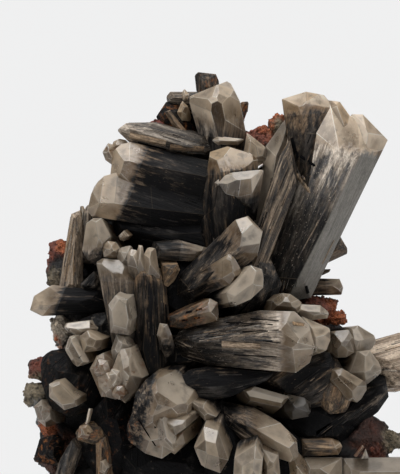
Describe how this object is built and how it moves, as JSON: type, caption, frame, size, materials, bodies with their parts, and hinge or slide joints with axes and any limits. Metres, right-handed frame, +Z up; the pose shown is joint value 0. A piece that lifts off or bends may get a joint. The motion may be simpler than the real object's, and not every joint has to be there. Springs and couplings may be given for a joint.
{
  "type": "selenite cluster",
  "caption": "Standing cluster of blocky, dark-bodied selenite crystals with pale clear ends, radiating from a rusty clay matrix that is cut flat to stand on.",
  "frame": {"origin": "on the flat cut that the cluster stands on, below the middle of the crystals' common root", "axes": "+Z up, normal to the flat cut; -Y towards the showy front, +X to the right as seen from the front"},
  "size_m": [0.2059, 0.128, 0.2245],
  "materials": {
    "pale_crystal": "translucent, satin cleavage faces",
    "dark_crystal": "near-black striated body with pale translucent ends",
    "matrix": "rough iron-stained clay"
  },
  "bodies": {
    "root": {"matrix": "matrix", "pale_lozenge": "pale_crystal", "small_lozenge": "pale_crystal", "prism_crystal": "pale_crystal", "centre_lance": "dark_crystal", "barrel_crystal": "dark_crystal", "horizontal_rod": "dark_crystal", "golden_stub": "dark_crystal", "hatched_stub": "dark_crystal", "lower_mid_crystal": "pale_crystal", "bottom_crystal": "pale_crystal", "lower_big_crystal": "pale_crystal", "rugged_crystals": "pale_crystal", "box_crystal": "pale_crystal", "leaning_lozenge": "pale_crystal", "slab_crystal": "pale_crystal", "diamond_crystal": "pale_crystal", "spike_crystal": "dark_crystal", "twisted_crystals": "dark_crystal", "little_crystal": "pale_crystal", "lower_right_lance": "pale_crystal", "leaf_crystal": "dark_crystal", "grey_slab": "dark_crystal", "dark_cylinder": "dark_crystal", "left_tower": "dark_crystal", "mitre_crystal": "pale_crystal", "knob_crystal": "pale_crystal", "left_finger": "dark_crystal", "dark_left_crystal": "dark_crystal", "left_column": "dark_crystal", "second_tower": "dark_crystal", "upper_left_fan": "dark_crystal", "wedge_blade": "dark_crystal", "top_tower": "pale_crystal", "top_rods": "dark_crystal", "back_nub": "dark_crystal", "rusty_splinter": "dark_crystal", "large_blade": "dark_crystal", "grey_blade": "pale_crystal", "pale_right_crystals": "pale_crystal", "right_stubs": "dark_crystal", "thin_stub": "dark_crystal", "back_wedge_crystal": "dark_crystal", "knot_crystals": "pale_crystal", "right_far_crystal": "pale_crystal", "dark_diagonal_blade": "dark_crystal", "tan_crystal": "dark_crystal", "bottom_right_slabs": "dark_crystal", "black_left_crystal": "dark_crystal", "left_block": "dark_crystal", "back_top_crystals": "pale_crystal", "back_blades": "pale_crystal", "back_left_crystals": "pale_crystal", "back_barrel_crystals": "pale_crystal", "back_right_crystals": "pale_crystal", "back_lower_crystals": "pale_crystal", "back_foot_crystals": "pale_crystal"}
  },
  "joints": []
}
